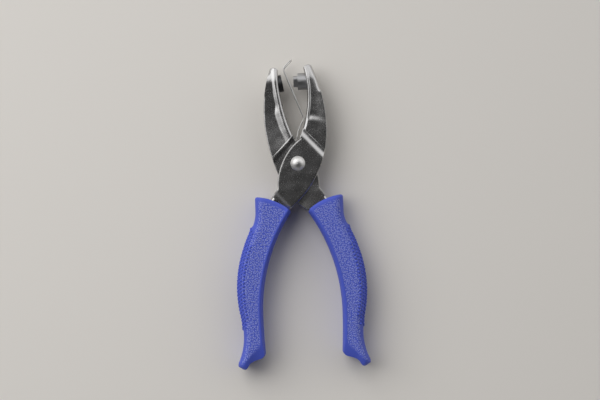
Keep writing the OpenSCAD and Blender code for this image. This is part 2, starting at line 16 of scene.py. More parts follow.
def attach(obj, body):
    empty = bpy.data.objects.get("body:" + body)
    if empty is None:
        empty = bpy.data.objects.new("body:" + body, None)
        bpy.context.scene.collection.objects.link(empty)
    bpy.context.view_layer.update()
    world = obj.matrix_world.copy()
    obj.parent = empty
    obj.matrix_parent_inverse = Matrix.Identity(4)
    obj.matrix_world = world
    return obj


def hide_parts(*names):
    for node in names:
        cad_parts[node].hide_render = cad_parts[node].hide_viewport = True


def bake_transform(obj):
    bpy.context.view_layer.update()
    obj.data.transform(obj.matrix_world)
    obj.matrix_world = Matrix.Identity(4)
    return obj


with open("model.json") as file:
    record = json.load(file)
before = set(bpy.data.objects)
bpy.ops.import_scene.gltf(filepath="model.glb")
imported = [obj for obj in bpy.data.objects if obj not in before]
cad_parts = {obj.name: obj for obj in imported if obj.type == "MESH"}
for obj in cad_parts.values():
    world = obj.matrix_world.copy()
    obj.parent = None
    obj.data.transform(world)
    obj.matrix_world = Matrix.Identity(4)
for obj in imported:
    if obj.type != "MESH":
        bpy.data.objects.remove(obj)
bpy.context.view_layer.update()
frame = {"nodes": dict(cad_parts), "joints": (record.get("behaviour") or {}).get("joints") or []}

bl_info = {
    "name": "Heart punch looks",
    "version": (1, 0, 0),
    "blender": (4, 5, 0),
    "location": "View3D > Sidebar > Heart punch",
    "description": "Dresses the packed hand punch with plated steel, wires and soft grips",
    "category": "Object",
}

MM = 0.001
JOINTS = {joint["name"]: joint for joint in frame["joints"]}
RIVET = Vector(JOINTS["squeeze"]["pos_m"])
KNEE = Vector(JOINTS["stripper_flex"]["pos_m"])


def place(x, y, z):
    """A point in millimetres about the rivet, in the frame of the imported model."""
    return RIVET + Vector((x, y, z)) * MM


def ray(degrees):
    """Unit vector in the tool's plane."""
    return Vector((math.cos(math.radians(degrees)), math.sin(math.radians(degrees))))


def lerp(a, b, share):
    return a + (b - a) * share


def smooth(share):
    """Soft step from 0 to 1."""
    share = min(max(share, 0.0), 1.0)
    return share * share * (3 - 2 * share)


# Sizes and colours


class SteelLooks(bpy.types.PropertyGroup):
    """Sizes and colours of the steel pieces"""

    crease_angle: bpy.props.FloatProperty(
        name="Crease angle",
        description="Edges sharper than this stay sharp in the plated sheet",
        default=math.radians(24),
        subtype="ANGLE",
    )
    plate_colour: bpy.props.StringProperty(
        name="Nickel plate", description="Colour of the plated levers", default="#C4C3C2"
    )
    rivet_colour: bpy.props.StringProperty(
        name="Rivet plate", description="Colour of the polished rivet", default="#E2E1DF"
    )
    tool_colour: bpy.props.StringProperty(
        name="Tool steel", description="Colour of the turned punch", default="#B0B0B1"
    )
    # The die's dark colour is painted shade: it stands in for the shadow the die lies in beside the jaw.
    painted_shade_die_colour: bpy.props.StringProperty(
        name="Die steel", description="Colour of the hardened die", default="#4A4A4C"
    )
    wire_colour: bpy.props.StringProperty(
        name="Spring wire", description="Colour of the drawn wires", default="#E2E1DF"
    )
    wave_size: bpy.props.FloatProperty(
        name="Wave size",
        description="Width of the waves that pressing leaves in the plated sheet",
        default=9 * MM,
        unit="LENGTH",
    )


class GripLooks(bpy.types.PropertyGroup):
    """Sizes and colours of the soft grips"""

    body_colour: bpy.props.StringProperty(
        name="Grip blue", description="Colour of the soft sleeve", default="#4757BC"
    )
    # Paler colour painted on the tops of the grain as a highlight.
    pebble_highlight_colour: bpy.props.StringProperty(
        name="Speck blue", description="Colour of the highlit tops of the grain", default="#A3ABE4"
    )
    grain_size: bpy.props.FloatProperty(
        name="Grain size",
        description="Width of one pebble of the moulded grain",
        default=0.8 * MM,
        unit="LENGTH",
    )
    ridge_width: bpy.props.FloatProperty(
        name="Ridge place",
        description="Distance of the ridge from the hollow side",
        default=1.9 * MM,
        unit="LENGTH",
    )
    panel_drop: bpy.props.FloatProperty(
        name="Panel depth",
        description="Depth of the grained panel below the ridge",
        default=0.25 * MM,
        unit="LENGTH",
    )
    dot_diameter: bpy.props.FloatProperty(
        name="Dot diameter", description="Width of one raised dot", default=1.45 * MM, unit="LENGTH"
    )
    dot_height: bpy.props.FloatProperty(
        name="Dot height",
        description="Height of one dot above the pad",
        default=0.6 * MM,
        unit="LENGTH",
    )
    dot_pitch: bpy.props.FloatProperty(
        name="Dot pitch",
        description="Distance from dot to dot along the grip",
        default=1.88 * MM,
        unit="LENGTH",
    )


class StageLooks(bpy.types.PropertyGroup):
    """Floor, light and camera"""

    floor_colour: bpy.props.StringProperty(
        name="Floor", description="Colour of the floor", default="#DCD8D2"
    )
    camera_height: bpy.props.FloatProperty(
        name="Camera height",
        description="Height of the camera above the tool's middle plane",
        default=0.8,
        unit="LENGTH",
    )
    camera_roll: bpy.props.FloatProperty(
        name="Camera roll",
        description="Turn of the tool in the picture",
        default=math.radians(-1.95),
        subtype="ANGLE",
    )
    view_width: bpy.props.FloatProperty(
        name="View width",
        description="Width of the picture at the tool's middle plane",
        default=0.309,
        unit="LENGTH",
    )
    key_power: bpy.props.FloatProperty(
        name="Key light", description="Power of the soft light at the upper left", default=1.8
    )
    fill_power: bpy.props.FloatProperty(
        name="Fill light", description="Power of the light that bright metal doesn't mirror", default=4.2
    )


# Nodes and materials


def linear(text):
    """sRGB hex colour as linear RGBA."""
    parts = [int(text[k : k + 2], 16) / 255 for k in (1, 3, 5)]
    return [p / 12.92 if p <= 0.04045 else ((p + 0.055) / 1.055) ** 2.4 for p in parts] + [1.0]


def add(tree, kind, inputs=None, **settings):
    """Adds a node with its settings; each input is a value or another node's output."""
    node = tree.nodes.new(kind)
    for name, value in settings.items():
        setattr(node, name, value)
    for key, value in (inputs or {}).items():
        if isinstance(value, bpy.types.NodeSocket):
            tree.links.new(value, node.inputs[key])
        else:
            node.inputs[key].default_value = value
    return node


def new_material(name):
    """Empty node material, and the tree it is built in."""
    material = bpy.data.materials.new(name)
    material.use_nodes = True
    material.node_tree.nodes.clear()
    return material, material.node_tree


def close_material(tree, shader):
    add(tree, "ShaderNodeOutputMaterial", {"Surface": shader.outputs[0]})


def noise(tree, place_on, size, detail, roughness=0.5):
    """Noise with features of about this size."""
    inputs = {"Vector": place_on, "Scale": 1 / size, "Detail": detail, "Roughness": roughness}
    return add(tree, "ShaderNodeTexNoise", inputs).outputs["Fac"]


def spread(tree, value, low, high):
    """The middle of a noise's range, spread from low to high."""
    inputs = {"Value": value, "From Min": 0.3, "From Max": 0.7, "To Min": low, "To Max": high}
    return add(tree, "ShaderNodeMapRange", inputs).outputs["Result"]


def bumped(tree, height, strength, distance, under=None):
    """Normal of a surface with a height on it, over another bump's normal where one is given."""
    inputs = {"Height": height, "Strength": strength, "Distance": distance}
    if under is not None:
        inputs["Normal"] = under
    return add(tree, "ShaderNodeBump", inputs).outputs["Normal"]


def close_metal(tree, colour, roughness, **inputs):
    """Ends a material as bare metal; the roughness is a value or another node's output."""
    inputs = {"Base Color": linear(colour), "Metallic": 1.0, "Roughness": roughness, **inputs}
    close_material(tree, add(tree, "ShaderNodeBsdfPrincipled", inputs))


def satin_nickel_plate(looks):
    """Nickel-plated pressed steel: shallow waves from the press break up what it mirrors, and a fine
    satin grain, drawn coarser than the real one so that it shows, blurs it."""
    material, tree = new_material("satin_nickel_plated_steel")
    place_on = add(tree, "ShaderNodeTexCoord").outputs["Object"]
    waves = noise(tree, place_on, looks.wave_size, 1.0, 0.4)
    grain = noise(tree, place_on, 0.6 * MM, 2.0, 0.6)
    wavy = bumped(tree, waves, 1.0, 0.45 * MM)
    normal = bumped(tree, grain, 0.12, 0.03 * MM, wavy)
    close_metal(tree, looks.plate_colour, spread(tree, grain, 0.2, 0.28), Normal=normal)
    return material


def polished_rivet(looks):
    """Plated rivet steel, set by a hollow tool: bright, with small dents of the setting."""
    material, tree = new_material("polished_plated_rivet_steel")
    place_on = add(tree, "ShaderNodeTexCoord").outputs["Object"]
    dents = noise(tree, place_on, 1.3 * MM, 3.0, 0.6)
    close_metal(tree, looks.rivet_colour, 0.38, Normal=bumped(tree, dents, 0.8, 0.12 * MM))
    return material


def turned_tool_steel(name, colour, roughness):
    """Turned tool steel: fine rings round the punch's axis, which is along X, and uneven polish."""
    material, tree = new_material(name)
    place_on = add(tree, "ShaderNodeTexCoord").outputs["Object"]
    rings = add(
        tree,
        "ShaderNodeTexWave",
        {"Vector": place_on, "Scale": 1 / (3.2 * MM), "Distortion": 0.6, "Detail": 1.0},
        wave_type="BANDS",
        bands_direction="X",
    )
    polish = noise(tree, place_on, 1.2 * MM, 2.0)
    rough = spread(tree, polish, roughness - 0.07, roughness + 0.07)
    close_metal(tree, colour, rough, Normal=bumped(tree, rings.outputs["Fac"], 0.25, 0.02 * MM))
    return material


def drawn_spring_wire(looks):
    """Hard-drawn plated spring wire: bright, with an uneven polish."""
    material, tree = new_material("drawn_spring_wire")
    place_on = add(tree, "ShaderNodeTexCoord").outputs["Object"]
    polish = noise(tree, place_on, 0.5 * MM, 2.0)
    close_metal(tree, looks.wire_colour, spread(tree, polish, 0.36, 0.48))
    return material


def grained_soft_vinyl(looks):
    """Dip-moulded soft vinyl: a pebbled grain with a painted highlight that makes its tops paler where the
    attribute grain is 1, and a smooth skin with a soft sheen where it is 0, on rims, pad and sides."""
    material, tree = new_material("grained_soft_vinyl")
    place_on = add(tree, "ShaderNodeTexCoord").outputs["Object"]
    grain_mask = add(tree, "ShaderNodeAttribute", attribute_name="grain").outputs["Fac"]
    pebbles = add(
        tree,
        "ShaderNodeTexVoronoi",
        {"Vector": place_on, "Scale": 1 / looks.grain_size, "Randomness": 0.85},
        feature="F1",
        voronoi_dimensions="2D",
    )
    tops = add(
        tree,
        "ShaderNodeMapRange",
        {"Value": pebbles.outputs["Distance"], "From Min": 0.5, "From Max": 0.12},
    )
    height = add(
        tree,
        "ShaderNodeMath",
        {0: tops.outputs["Result"], 1: grain_mask},
        operation="MULTIPLY",
    )
    # Painted highlight: the grain's tops are mixed toward the paler colour by the bump's height.
    pebble_highlight = add(
        tree,
        "ShaderNodeMath",
        {0: height.outputs[0], 1: 0.75},
        operation="MULTIPLY",
    )
    colour = add(
        tree,
        "ShaderNodeMix",
        {0: pebble_highlight.outputs[0], 6: linear(looks.body_colour), 7: linear(looks.pebble_highlight_colour)},
        data_type="RGBA",
    )
    shader = add(
        tree,
        "ShaderNodeBsdfPrincipled",
        {
            "Base Color": colour.outputs[2],
            "Roughness": 0.55,
            "Specular IOR Level": 0.35,
            "Normal": bumped(tree, height.outputs[0], 0.9, 0.22 * MM),
        },
    )
    close_material(tree, shader)
    return material


# Mesh building


def new_piece(name, mesh, material):
    """Object for a finished mesh, at the origin, with one material."""
    piece = bpy.data.objects.new(name, mesh)
    bpy.context.scene.collection.objects.link(piece)
    piece.data.materials.clear()
    piece.data.materials.append(material)
    return piece


def crease(mesh, angle):
    """Smooth shading that keeps edges sharper than the angle."""
    mesh.polygons.foreach_set("use_smooth", [True] * len(mesh.polygons))
    work = bmesh.new()
    work.from_mesh(mesh)
    for edge in work.edges:
        faces = edge.link_faces
        edge.smooth = len(faces) == 2 and faces[0].normal.angle(faces[1].normal, 0.0) < angle
    work.to_mesh(mesh)
    work.free()


def node_copy(name, node, material, angle):
    """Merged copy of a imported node's mesh as a piece of its own."""
    mesh = frame["nodes"][node].data.copy()
    mesh.name = name
    work = bmesh.new()
    work.from_mesh(mesh)
    bmesh.ops.remove_doubles(work, verts=work.verts, dist=1e-6)
    work.to_mesh(mesh)
    work.free()
    crease(mesh, angle)
    piece = new_piece(name, mesh, material)
    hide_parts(node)
    return piece


# Levels and folds of the pressed sheet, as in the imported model
HALF_W = 5.5
FOLD_WAY = ray(42.7)
HANDLE_FOLD, HANDLE_RAMP = 17.4, 2.3
FOLD_SOFT = 0.75
OPEN_DEG = 10.4
CHEEK_FROM = 3.6
BEND_R = 1.8
NOSE_FROM = 37.3
# Where a nose begins to fall toward its tip, and by what share of its height it falls
FALL_FROM, FALL_TO = 43.2, 50.7
FALL = 0.42
FALL_SOFT = 0.25
# The die's nose is squared up to this height, and round again after the fade
SQUARE_TO, SQUARE_FADE = 46, 3.5
# Where the dishes of the jaws can begin, over the rivet
DISH_FROM = 2
# Rolled edge of the sheet, and how far one of its corners may stand off the sheet
ROLL = 0.5
OVERSHOOT = 0.03
# Cells that the cheeks are cut into so that they can bend, and how far they reach about the rivet
CELL = 0.8
FOLD_CELL = 0.3
REACH_X = 18
REACH_FOOT, REACH_TIP = -26, 52


class LeverForm:
    """What the press leaves in one lever: soft folds, a dish behind a crease along the jaw's face, and
    a nose that falls toward its tip. Sizes are in millimetres, in the lever's own place."""

    def __init__(self, side, turn, face_c, face_r, back_c, back_r, level, fold, ramp, tail_soft, dish):
        self.side = side
        self.turn = math.radians(turn)
        self.face_c = Vector(face_c)
        self.face_r = face_r
        self.back_c = Vector(back_c)
        self.back_r = back_r
        self.level = level
        self.fold = fold
        self.ramp = ramp
        self.tail_soft = tail_soft
        self.dish = dish

    def own(self, point):
        """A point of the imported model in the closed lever's own place: across, along and height."""
        x, y, z = (point - RIVET) / MM
        c, s = math.cos(self.turn), math.sin(self.turn)
        x *= self.side
        return Vector((c * x - s * y, s * x + c * y, z))

    def back(self, spot):
        """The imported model's point for a spot in the lever's own place."""
        c, s = math.cos(self.turn), math.sin(self.turn)
        return place((c * spot.x + s * spot.y) * self.side, c * spot.y - s * spot.x, spot.z)

    def cheek_level(self, along):
        """Height of a cheek's outside at a distance across the folds."""
        if along > 0:
            return lerp(self.level, HALF_W, min(max((along - self.fold) / self.ramp, 0), 1))
        return lerp(self.level, HALF_W, min(max((-along - HANDLE_FOLD) / HANDLE_RAMP, 0), 1))

    def squared(self, point):
        """The same point with the nose's outer bend squared, up to a little below its tip."""
        spot = self.own(point)
        out = spot.xy - self.back_c
        bend = Vector((out.length - self.back_r, abs(spot.z) - HALF_W)) + Vector((BEND_R, BEND_R))
        if spot.y < NOSE_FROM - 0.1 or min(bend) < -1e-4 or bend.length < BEND_R - 0.1:
            return point
        edge = self.back_c + out.normalized() * self.back_r
        corner = Vector((edge.x, edge.y, math.copysign(HALF_W, spot.z)))
        return self.back(corner.lerp(spot, smooth((spot.y - SQUARE_TO) / SQUARE_FADE)))

    def pressed(self, point):
        """The same point after the press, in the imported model."""
        spot = self.own(point)
        low = abs(spot.z)
        if low > CHEEK_FROM:
            x, y, z = (point - RIVET) / MM
            along = Vector((x * self.side, y)).dot(FOLD_WAY)
            soft = FOLD_SOFT if along > 0 else self.tail_soft
            near = [self.cheek_level(along + soft * k / 4) for k in range(-4, 5)]
            low += sum(near) / len(near) - self.cheek_level(along)
        if spot.y > DISH_FROM:
            inward = (spot.xy - self.face_c).length - self.face_r
            outward = self.back_r - (spot.xy - self.back_c).length
            if low > CHEEK_FROM:
                low -= self.dish(spot.y, inward, outward)
            fall = max(spot.y - FALL_FROM, 0) / (FALL_TO - FALL_FROM)
            low *= 1 - FALL * fall**2 / (fall + FALL_SOFT)
        return self.back(Vector((spot.x, spot.y, math.copysign(low, spot.z))))


def punch_dish(y, inward, outward):
    """Hollow in the punch jaw's cheeks, and the fall of its closed nose toward the back."""
    start_y, start_run, start_slant = 21.8, 3.1, 0.25
    depth, lip, lip_run = 0.66, 0.7, 1.5
    floor_to, out_run, out_share = 3.5, 7, 0.7
    nose_y, nose_run, nose_fall, nose_reach = 36, 4, 0.9, 3.2
    rise = smooth((y - start_y + start_slant * max(inward - floor_to, 0)) / start_run)
    run_out = 1 - out_share * smooth((inward - floor_to) / out_run)
    hollow = depth * smooth((inward - lip) / lip_run) * run_out
    shoulder = nose_fall * smooth((y - nose_y) / nose_run) * max(1 - outward / nose_reach, 0) ** 1.5
    return rise * hollow + shoulder


def die_dish(y, inward, outward):
    """Hollow in the die jaw's cheeks: a plain slope beside the face that narrows to a crease,
    the same at any distance from the back."""
    lip, wide, narrow = 2.0, 3.0, 1.4
    narrow_y, narrow_run, fade_run = 27, 5, 20
    deep_low, deep_high = 1.1, 0.35
    rise_run, rise_slant, slant_from = 20, 1.5, 5
    width = lerp(wide, narrow, smooth((y - narrow_y) / narrow_run))
    slope = min(max((inward - lip) / width, 0), 1)
    deep = lerp(deep_low, deep_high, smooth((y - narrow_y) / fade_run))
    rise = smooth((y - DISH_FROM) / (rise_run + rise_slant * max(inward - slant_from, 0)))
    return deep * rise * lerp(slope, smooth(slope), 0.4)


LEVERS = {
    "punch_lever": LeverForm(
        side=1,
        turn=0,
        face_c=(-51.0, 35.7),
        face_r=57.0,
        back_c=(-62.6, 18.0),
        back_r=78.1,
        level=6.5,
        fold=11.3,
        ramp=2.1,
        tail_soft=0.75,
        dish=punch_dish,
    ),
    "die_lever": LeverForm(
        side=-1,
        turn=OPEN_DEG,
        face_c=(-88.7, 33.0),
        face_r=90.0,
        back_c=(-57.71, 15.5),
        back_r=70.61,
        level=5.15,
        fold=9.7,
        ramp=0.7,
        tail_soft=3.0,
        dish=die_dish,
    ),
}


def cut_across(work, way, first, last, step, keep):
    """Cuts the faces that a test keeps, along planes across a direction, so that they can bend there."""
    faces = [face for face in work.faces if keep(face)]
    parts = faces + list({e for f in faces for e in f.edges}) + list({v for f in faces for v in f.verts})
    for k in range(math.ceil((last - first) / step)):
        spot = RIVET + way * (first + step * k) * MM
        done = bmesh.ops.bisect_plane(work, geom=parts, dist=1e-7, plane_co=spot, plane_no=way)
        parts = done["geom"]


def pressed_lever(name, node, material, angle):
    """Copy of a packed lever with rolled sheet edges and what the press leaves in it."""
    form = LEVERS[node]
    mesh = frame["nodes"][node].data.copy()
    mesh.name = name
    work = bmesh.new()
    work.from_mesh(mesh)
    if node == "die_lever":
        for vert in work.verts:
            vert.co = form.squared(vert.co)
    bmesh.ops.remove_doubles(work, verts=work.verts, dist=1e-6)
    bmesh.ops.dissolve_limit(
        work,
        angle_limit=math.radians(0.3),
        verts=work.verts,
        edges=work.edges,
        use_dissolve_boundaries=False,
    )
    sharp = [
        edge
        for edge in work.edges
        if len(edge.link_faces) == 2
        and edge.is_convex
        and edge.calc_face_angle(0.0) > math.radians(55)
        and min(abs(v.co.z - RIVET.z) for v in edge.verts) > CHEEK_FROM * MM
    ]
    skin = BVHTree.FromBMesh(work)
    bmesh.ops.bevel(
        work,
        geom=sharp,
        offset=ROLL * MM,
        offset_type="OFFSET",
        segments=3,
        profile=0.5,
        affect="EDGES",
        clamp_overlap=False,
    )
    # Where short edges meet, a rolled corner can overshoot the sheet: it is laid back on its skin.
    for vert in work.verts:
        near, normal, _, gap = skin.find_nearest(vert.co)
        if gap > OVERSHOOT * MM and (vert.co - near).dot(normal) > 0:
            vert.co = near
    bmesh.ops.dissolve_degenerate(work, dist=1e-6, edges=work.edges)
    fold_way = Vector((FOLD_WAY.x * form.side, FOLD_WAY.y, 0))
    tail = HANDLE_FOLD + HANDLE_RAMP
    for low, high in (
        (form.fold - 1, form.fold + form.ramp + 1),
        (-tail - form.tail_soft, form.tail_soft - HANDLE_FOLD),
    ):

        def crosses(face):
            spots = [(v.co - RIVET).dot(fold_way) / MM for v in face.verts]
            return min(spots) < high and max(spots) > low

        cut_across(work, fold_way, low, high, FOLD_CELL, crosses)
    across, upward = Vector((1, 0, 0)), Vector((0, 1, 0))
    for way, first, last, step, low in (
        (upward, REACH_FOOT, REACH_TIP, CELL, REACH_FOOT),
        (across, -REACH_X, REACH_X, CELL, REACH_FOOT),
        (across, -REACH_X, REACH_X, CELL / 3, DISH_FROM),
    ):
        from_y = RIVET.y + low * MM
        cut_across(work, way, first, last, step, lambda face: max(v.co.y for v in face.verts) > from_y)
    for vert in work.verts:
        vert.co = form.pressed(vert.co)
    work.to_mesh(mesh)
    work.free()
    crease(mesh, angle)
    piece = new_piece(name, mesh, material)
    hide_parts(node)
    return piece


def rings_mesh(name, rings, closed_ends=True):
    """Skin through rings of points of equal number, with its ends closed."""
    work = bmesh.new()
    rows = [[work.verts.new(point) for point in ring] for ring in rings]
    count = len(rows[0])
    for low, high in zip(rows, rows[1:]):
        for k in range(count):
            work.faces.new((low[k], low[(k + 1) % count], high[(k + 1) % count], high[k]))
    for row in (rows[0], rows[-1]) if closed_ends else ():
        for k in range(count // 2):
            work.faces.new(dict.fromkeys((row[k], row[k + 1], row[-k - 1], row[-k % count])))
    bmesh.ops.recalc_face_normals(work, faces=work.faces)
    mesh = bpy.data.meshes.new(name)
    work.to_mesh(mesh)
    work.free()
    return mesh


# Rings of a wire's domed end: how far they lie ahead and how wide they are, as shares of its radius
WIRE_DOME = ((0.35, 0.72), (0.5, 0.25))


def wire_mesh(name, path, diameter, sides=12):
    """Round wire along a path in millimetres about the rivet, with domed ends."""
    points = [Vector(p) for p in path]
    ends = len(points) - 1
    ways = [(points[min(k + 1, ends)] - points[max(k - 1, 0)]).normalized() for k in range(ends + 1)]
    out = ways[0].orthogonal().normalized()
    rings = []
    for k, (point, way) in enumerate(zip(points, ways)):
        out = (out - way * out.dot(way)).normalized()
        up = way.cross(out)
        spans = [(0.0, 1.0)]
        if k == 0:
            spans = [(-ahead, share) for ahead, share in reversed(WIRE_DOME)] + spans
        if k == ends:
            spans += WIRE_DOME
        for ahead, share in spans:
            centre = point + way * ahead * diameter / 2
            radius = share * diameter / 2
            turns = [2 * math.pi * s / sides for s in range(sides)]
            ring = [centre + radius * (math.cos(t) * out + math.sin(t) * up) for t in turns]
            rings.append([place(*spot) for spot in ring])
    mesh = rings_mesh(name, rings)
    crease(mesh, math.radians(60))
    return mesh


def rounded(path, reach, steps=6):
    """Path in space with its corners turned into smooth bends."""
    points = [Vector(p) for p in path]
    result = [points[0]]
    for before, corner, after in zip(points, points[1:], points[2:]):
        back = before - corner
        on = after - corner
        cut = min(reach, back.length / 2.1, on.length / 2.1)
        for s in range(steps + 1):
            t = s / steps
            result.append(corner + (1 - t) ** 2 * cut * back.normalized() + t**2 * cut * on.normalized())
    result.append(points[-1])
    return result


def turned_mesh(name, profile, sides=72):
    """Piece turned about the rivet's axis from a closed profile of (radius, height) in millimetres."""
    rings = []
    for k in range(sides):
        way = ray(360 * k / sides)
        rings.append([place(way.x * r, way.y * r, z) for r, z in profile])
    rings.append(rings[0])
    mesh = rings_mesh(name, rings, closed_ends=False)
    work = bmesh.new()
    work.from_mesh(mesh)
    bmesh.ops.remove_doubles(work, verts=work.verts, dist=1e-6)
    bmesh.ops.dissolve_degenerate(work, edges=work.edges, dist=1e-7)
    bmesh.ops.recalc_face_normals(work, faces=work.faces)
    work.to_mesh(mesh)
    work.free()
    crease(mesh, math.radians(40))
    return mesh


# Levels of the stacked sheet, from the middle plane outward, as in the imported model
PLATE_OUT = 6.5
WASHER_T = 0.6
TAIL_H = 0.8
SHANK_R = 2.5
BUSH_HALF = 3.8


class HEARTPUNCH_OT_levers(bpy.types.Operator):
    """Dress the two pressed levers in satin nickel plate"""

    bl_idname = "heartpunch.levers"
    bl_label = "Plated levers"

    def execute(self, context):
        looks = context.scene.punch_steel
        material = satin_nickel_plate(looks)
        for node, body in (("punch_lever", "punch_side"), ("die_lever", "die_side")):
            lever = pressed_lever(node + "_plated", node, material, looks.crease_angle)
            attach(lever, body)
        return {"FINISHED"}


class HEARTPUNCH_OT_rivet(bpy.types.Operator):
    """Turn the domed rivet, its washer and the bush between the cheeks"""

    bl_idname = "heartpunch.rivet"
    bl_label = "Rivet, washer and bush"

    def execute(self, context):
        looks = context.scene.punch_steel
        bright = polished_rivet(looks)
        steel = turned_tool_steel("turned_bush_steel", looks.tool_colour, 0.42)
        head_r, head_h = 3.8, 2.2
        ball_r = (head_h**2 + head_r**2) / (2 * head_h)
        ball_z = PLATE_OUT + head_h - ball_r
        steps = 14
        turns = [math.asin(head_r / ball_r) * k / steps for k in range(steps)]
        dome = [(ball_r * math.sin(t), ball_z + ball_r * math.cos(t)) for t in turns]
        foot = -PLATE_OUT - WASHER_T
        head = dome + [(head_r - 0.05, PLATE_OUT + 0.12), (head_r - 0.12, PLATE_OUT), (SHANK_R, PLATE_OUT)]
        tail = [
            (SHANK_R, foot),
            (3.38, foot),
            (3.5, foot - 0.12),
            (3.3, foot - 0.45),
            (2.85, foot - 0.7),
            (2.3, foot - TAIL_H),
            (1.2, foot - TAIL_H),
            (0.9, foot - 0.6),
            (0.0, foot - 0.55),
        ]
        rivet = new_piece("domed_rivet", turned_mesh("domed_rivet", head + tail), bright)
        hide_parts("pivot_rivet")
        edge = 0.12
        washer_r, hole_r = 4.5, SHANK_R + 0.05
        washer_profile = [
            (hole_r, foot + WASHER_T),
            (washer_r - edge, foot + WASHER_T),
            (washer_r, foot + WASHER_T - edge),
            (washer_r, foot + edge),
            (washer_r - edge, foot),
            (hole_r + edge, foot),
            (hole_r, foot + edge),
            (hole_r, foot + WASHER_T),
        ]
        washer = new_piece("tail_washer", turned_mesh("tail_washer", washer_profile), bright)
        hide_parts("rivet_washer")
        bush_r = 3.1
        bush_profile = [
            (hole_r, BUSH_HALF),
            (bush_r - edge, BUSH_HALF),
            (bush_r, BUSH_HALF - edge),
            (bush_r, edge - BUSH_HALF),
            (bush_r - edge, -BUSH_HALF),
            (hole_r, -BUSH_HALF),
            (hole_r, BUSH_HALF),
        ]
        bush = new_piece("cheek_bush", turned_mesh("cheek_bush", bush_profile), steel)
        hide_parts("spacer_bush")
        for piece, finish in ((rivet, "rivet_steel"), (washer, "rivet_steel"), (bush, "tool_steel")):
            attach(piece, "punch_side")
        return {"FINISHED"}


class HEARTPUNCH_OT_cutters(bpy.types.Operator):
    """Dress the heart punch and its die in turned tool steel"""

    bl_idname = "heartpunch.cutters"
    bl_label = "Punch and die"

    def execute(self, context):
        looks = context.scene.punch_steel
        turned = turned_tool_steel("turned_tool_steel", looks.tool_colour, 0.42)
        # The die gets a copy of the turned steel, darkened as painted shade.
        shaded = turned_tool_steel("shaded_die_steel", looks.painted_shade_die_colour, 0.45)
        for node, name, body, steel in (
            ("punch", "heart_punch", "punch_side", turned),
            ("die_bush", "heart_die", "die_side", shaded),
        ):
            cutter = node_copy(name, node, steel, math.radians(30))
            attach(cutter, body)
        return {"FINISHED"}


# Wires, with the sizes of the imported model
COIL_R = 3.85
COIL_PITCH = 1.45
COIL_TURNS = 3
LEG_DEG = 22.04
LEG_LEN = 27.99
TOE = (17.37, -26.5)
RETURN_WIRE = 1.0
STRIP_WIRE = 0.6
HOOK_R = 3.55
HOOK_Z = 3.35
FORK_Z = 4.95
TAIL_END = (5.06, 17.5)
SHIN = (1.1, 17.6)
CALF_IN, CALF_DROP = 1.4, 1.9
FORK_DEG = 21
BEND_Y = 49.0
FLARE_H = 4.36
# Room of the bends in the two wires
RETURN_BEND, STRIP_BEND = 1.5, 1.4


class HEARTPUNCH_OT_wires(bpy.types.Operator):
    """Bend the return spring and the paper stripper from round wire"""

    bl_idname = "heartpunch.wires"
    bl_label = "Return spring and stripper"

    def execute(self, context):
        wire = drawn_spring_wire(context.scene.punch_steel)
        sweep = 180 - 2 * LEG_DEG + 360 * COIL_TURNS
        rise = COIL_PITCH * sweep / 360
        steps = round(sweep / 10)
        coil = []
        for k in range(steps + 1):
            spot = COIL_R * ray(LEG_DEG + sweep * k / steps)
            coil.append((spot.x, spot.y, rise * (k / steps - 0.5)))
        ankle = COIL_R * ray(LEG_DEG) + LEG_LEN * ray(LEG_DEG - 90)
        right = rounded([(*TOE, -rise / 2), (ankle.x, ankle.y, -rise / 2), coil[0]], RETURN_BEND)[:-1]
        left = [(-x, y, -z) for x, y, z in right[::-1]]
        mesh = wire_mesh("return_spring_wire", right + coil + left, RETURN_WIRE)
        spring = new_piece("return_spring_wire", mesh, wire)
        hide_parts("return_spring")
        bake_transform(spring)

        knee = (KNEE - RIVET) / MM
        bend = Vector((knee.x - math.tan(math.radians(FORK_DEG)) * (BEND_Y - knee.y), BEND_Y))
        rise_way = bend - knee.xy

        def half(side):
            hook = [HOOK_R * ray(-12 * k) for k in range(16)]
            low = [(*TAIL_END, side * HOOK_Z)] + [(h.x, h.y, side * HOOK_Z) for h in hook]
            low += [(*SHIN, side * HOOK_Z), (knee.x - CALF_IN, knee.y - CALF_DROP, side * HOOK_Z)]
            spread = knee.xy + 0.2 * rise_way
            full = knee.xy + 0.4 * rise_way
            high = [
                (knee.x, knee.y, side * HOOK_Z),
                (spread.x, spread.y, side * (HOOK_Z + FORK_Z) / 2),
                (full.x, full.y, side * FORK_Z),
                (bend.x, bend.y, side * FORK_Z),
                (bend.x + FLARE_H, bend.y + FLARE_H, side * FORK_Z),
            ]
            return low + high

        path = rounded(half(1) + half(-1)[::-1], STRIP_BEND)
        stripper = new_piece("stripper_wire", wire_mesh("stripper_wire", path, STRIP_WIRE), wire)
        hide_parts("stripper_base", "stripper_fork")
        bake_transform(stripper)
        return {"FINISHED"}


# Grips: edges of the left sleeve seen from the front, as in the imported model
RIM_C = Vector((71.3, -76.7))
INNER_R = 91.7
HEEL_BOW = 600
TOP_X = 22.7
SHOULDER = 4.0
SWELL_C = Vector((28.8, -64.5))
SWELL_R = 62.0
WAIST_X, WAIST_Y = 30.8, -88.0
FLARE_R = 31.0
MOUTH_Y, HEEL_Y = -24.4, -98.2
CORNER_Y, FOOT_Y = -16.4, -105.6
MOUTH_BOW, MOUTH_SHARE = 1.7, 0.12
FOOT_HOLLOW, TOE_DROP, FOOT_SHARE = 0.5, 1.6, 0.1
# Middle and half width of the foot's hollow and of its toe, as shares of the section
HOLLOW_AT, HOLLOW_HALF = 0.36, 0.3
TOE_AT, TOE_HALF = 0.67, 0.22
# How far the foot's edges draw in all round and at the toe, and over what length
FOOT_ROUND, FOOT_RUN = 1.2, 2
TOE_ROUND, TOE_RUN = 3.3, 4.4
OUTER_ROUND = 4.6
HALF_T = 8.0


